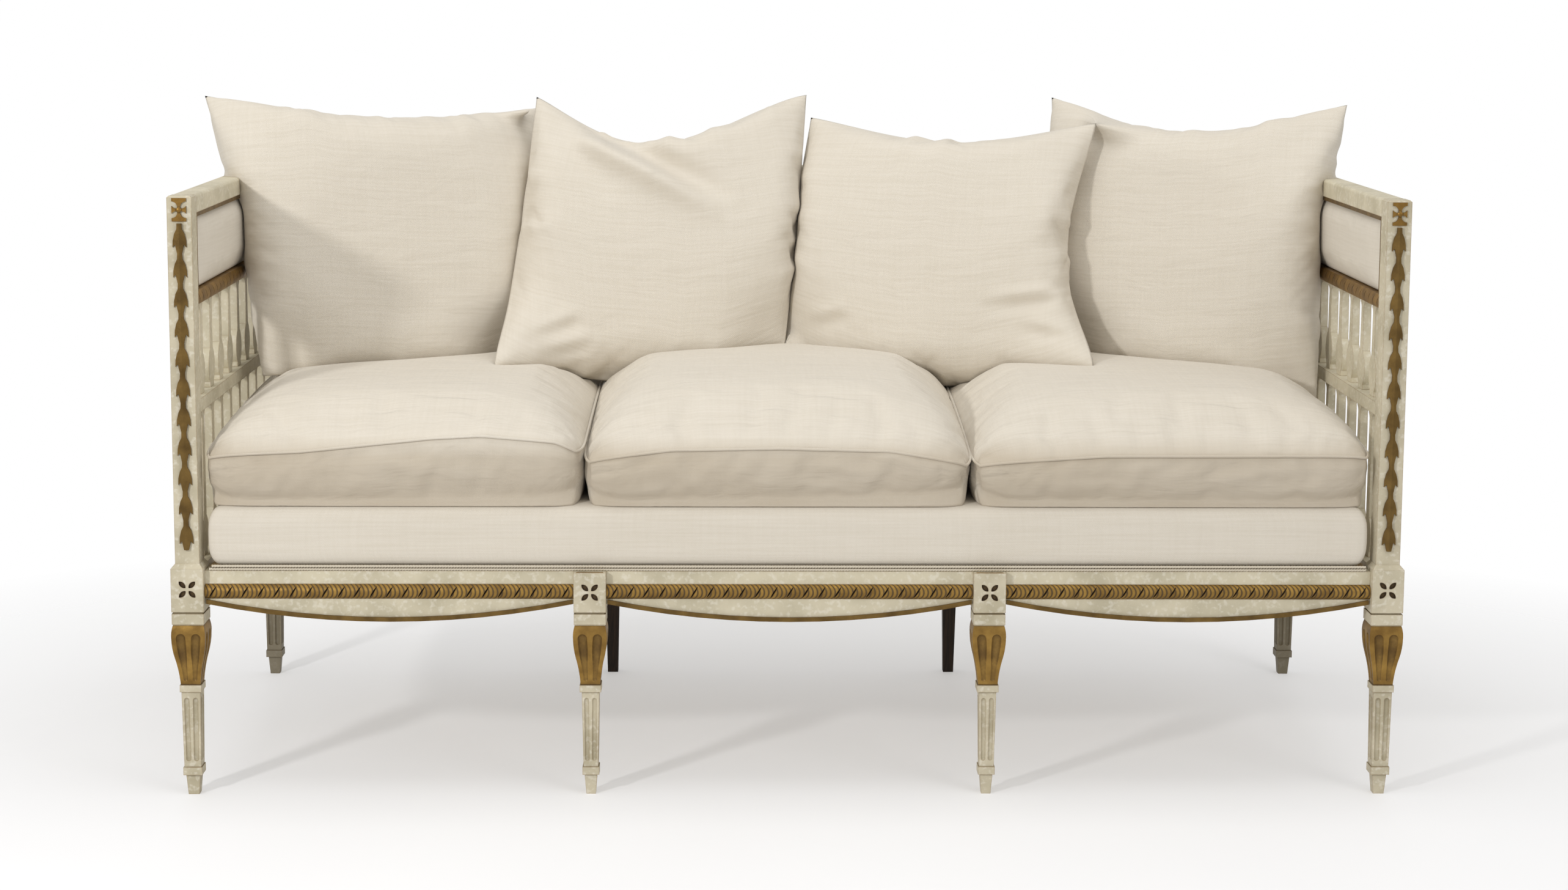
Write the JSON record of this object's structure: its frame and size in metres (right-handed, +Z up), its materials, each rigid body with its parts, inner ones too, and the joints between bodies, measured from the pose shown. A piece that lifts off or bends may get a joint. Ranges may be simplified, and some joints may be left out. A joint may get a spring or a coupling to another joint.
{
  "type": "neoclassical sofa",
  "caption": "Painted and parcel-gilt neoclassical sofa with carved square legs, baluster galleries, padded arm and back panels, loose feather seat cushions and knife-edge back pillows.",
  "frame": {"origin": "on the floor under the middle of the frame", "axes": "+X along the seat to the right as seen from the front, +Y from front to back, +Z up"},
  "size_m": [1.8352, 0.7502, 1.0436],
  "materials": {
    "cream_paint": "aged cream paint, rubbed at the edges",
    "gilding": "antique bronze-gold gilding over gesso",
    "dark_wood": "dark brown stained wood",
    "bare_wood": "bare planed beech",
    "screw_steel": "plain steel",
    "linen": "oatmeal linen, plain weave",
    "gimp": "double corded linen braid",
    "jute_webbing": "woven jute",
    "hessian": "coarse jute cloth"
  },
  "bodies": {
    "frame": {"apron_beads": "gilding", "arm_balusters_left": "cream_paint", "arm_balusters_right": "cream_paint", "arm_gilt_rail_left": "gilding", "arm_gilt_rail_right": "gilding", "arm_low_rail_left": "cream_paint", "arm_low_rail_right": "cream_paint", "arm_pad_left": "linen", "arm_pad_right": "linen", "arm_top_rail_left": "cream_paint", "arm_top_rail_right": "cream_paint", "back_balusters": "cream_paint", "back_gilt_rail": "gilding", "back_low_rail": "cream_paint", "back_pad_center": "linen", "back_pad_left": "linen", "back_pad_right": "linen", "back_top_rail": "cream_paint", "back_upright_left": "cream_paint", "back_upright_right": "cream_paint", "block_screws": "screw_steel", "corner_blocks": "bare_wood", "deck_gimp": "gimp", "front_leg_left": "cream_paint", "front_leg_right": "cream_paint", "front_post_left": "cream_paint", "front_post_right": "cream_paint", "front_rail_center": "cream_paint", "front_rail_left": "cream_paint", "front_rail_right": "cream_paint", "husk_chain_left": "gilding", "husk_chain_right": "gilding", "panel_beads": "gilding", "post_rosettes": "gilding", "rear_leg_left": "dark_wood", "rear_leg_right": "dark_wood", "rear_post_left": "cream_paint", "rear_post_right": "cream_paint", "rear_rail": "cream_paint", "ribbon_bands": "gilding", "seat_brace_left": "bare_wood", "seat_brace_right": "bare_wood", "seat_deck": "linen", "seat_hessian": "hessian", "seat_webbing": "jute_webbing", "side_rail_left": "cream_paint", "side_rail_right": "cream_paint"},
    "seat_cushion_left": {"seat_cushion_left": "linen"},
    "seat_cushion_center": {"seat_cushion_center": "linen"},
    "seat_cushion_right": {"seat_cushion_right": "linen"},
    "back_pillow_far_left": {"back_pillow_far_left": "linen"},
    "back_pillow_mid_left": {"back_pillow_mid_left": "linen"},
    "back_pillow_mid_right": {"back_pillow_mid_right": "linen"},
    "back_pillow_far_right": {"back_pillow_far_right": "linen"}
  },
  "joints": [
    {"name": "seat_cushion_left_slide", "type": "slide", "parent": "frame", "child": "seat_cushion_left", "axis": [0, -1, 0], "range_m": [0, 0.7]},
    {"name": "seat_cushion_center_slide", "type": "slide", "parent": "frame", "child": "seat_cushion_center", "axis": [0, -1, 0], "range_m": [0, 0.7]},
    {"name": "seat_cushion_right_slide", "type": "slide", "parent": "frame", "child": "seat_cushion_right", "axis": [0, -1, 0], "range_m": [0, 0.7]},
    {"name": "back_pillow_far_left_lift", "type": "slide", "parent": "frame", "child": "back_pillow_far_left", "axis": [0, 0.2756, 0.9613], "range_m": [0, 0.6]},
    {"name": "back_pillow_mid_left_lift", "type": "slide", "parent": "frame", "child": "back_pillow_mid_left", "axis": [0, 0.2756, 0.9613], "range_m": [0, 0.6]},
    {"name": "back_pillow_mid_right_lift", "type": "slide", "parent": "frame", "child": "back_pillow_mid_right", "axis": [0, 0.2756, 0.9613], "range_m": [0, 0.6]},
    {"name": "back_pillow_far_right_lift", "type": "slide", "parent": "frame", "child": "back_pillow_far_right", "axis": [0, 0.2756, 0.9613], "range_m": [0, 0.6]}
  ]
}
